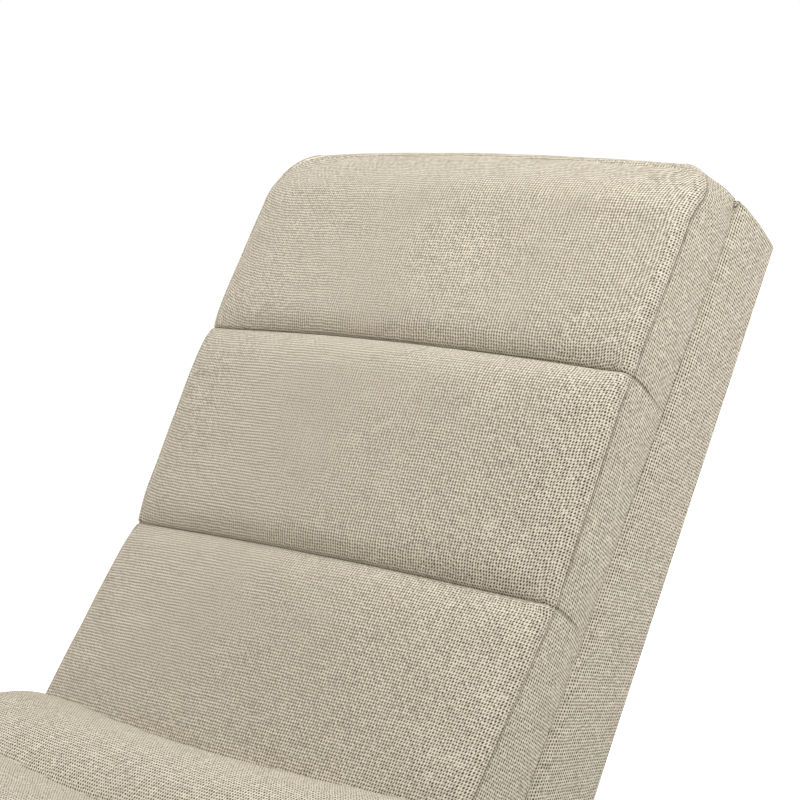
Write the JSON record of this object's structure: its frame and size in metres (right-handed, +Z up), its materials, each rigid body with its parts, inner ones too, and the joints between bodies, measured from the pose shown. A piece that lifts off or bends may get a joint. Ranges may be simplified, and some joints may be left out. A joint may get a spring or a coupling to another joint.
{
  "type": "chaise longue",
  "caption": "Upholstered chaise longue with a channelled seat pad and a channelled leaning back pad on a fabric-covered timber frame with tapered wooden legs.",
  "frame": {"origin": "on the floor, under the middle of the bounding box", "axes": "+X across the chaise, to the right as seen from the foot end; +Y from the foot end to the head end; +Z up"},
  "size_m": [0.54, 1.619, 0.8835],
  "materials": {
    "upholstery_fabric": "chunky woven beige upholstery cloth",
    "pad_foam": "open-cell foam",
    "webbing": "elastic upholstery webbing",
    "dust_cloth": "black non-woven cloth",
    "frame_wood": "planed pine, unfinished",
    "panel_board": "hardboard",
    "leg_wood": "oiled hardwood, satin",
    "zinc_steel": "bright zinc plate",
    "glide_nylon": "black nylon"
  },
  "bodies": {
    "root": {"seat_pad_cover": "upholstery_fabric", "back_pad_cover": "upholstery_fabric", "seat_front_cover": "upholstery_fabric", "seat_side_cover_left": "upholstery_fabric", "seat_side_cover_right": "upholstery_fabric", "back_side_cover_left": "upholstery_fabric", "back_side_cover_right": "upholstery_fabric", "back_top_cover": "upholstery_fabric", "outside_back_cover": "upholstery_fabric", "seat_foam_core": "pad_foam", "back_foam_core": "pad_foam", "seat_webbing": "webbing", "back_webbing": "webbing", "dust_cover": "dust_cloth", "seat_front_rail": "frame_wood", "seat_rear_rail": "frame_wood", "seat_side_rail_left": "frame_wood", "seat_side_rail_right": "frame_wood", "seat_cross_rail_front": "frame_wood", "seat_cross_rail_rear": "frame_wood", "leg_blocks": "frame_wood", "back_stile_left": "frame_wood", "back_stile_right": "frame_wood", "back_top_rail": "frame_wood", "back_middle_rail": "frame_wood", "back_lumbar_rail": "frame_wood", "back_bottom_rail": "frame_wood", "back_panel_board": "panel_board", "leg_front_left": "leg_wood", "leg_front_right": "leg_wood", "leg_rear_left": "leg_wood", "leg_rear_right": "leg_wood", "joint_screws": "zinc_steel", "back_bolts": "zinc_steel", "bolt_washers": "zinc_steel", "tee_nuts": "zinc_steel", "leg_plates": "zinc_steel", "leg_plate_screws": "zinc_steel", "leg_studs": "zinc_steel", "leg_glides": "glide_nylon"}
  },
  "joints": []
}
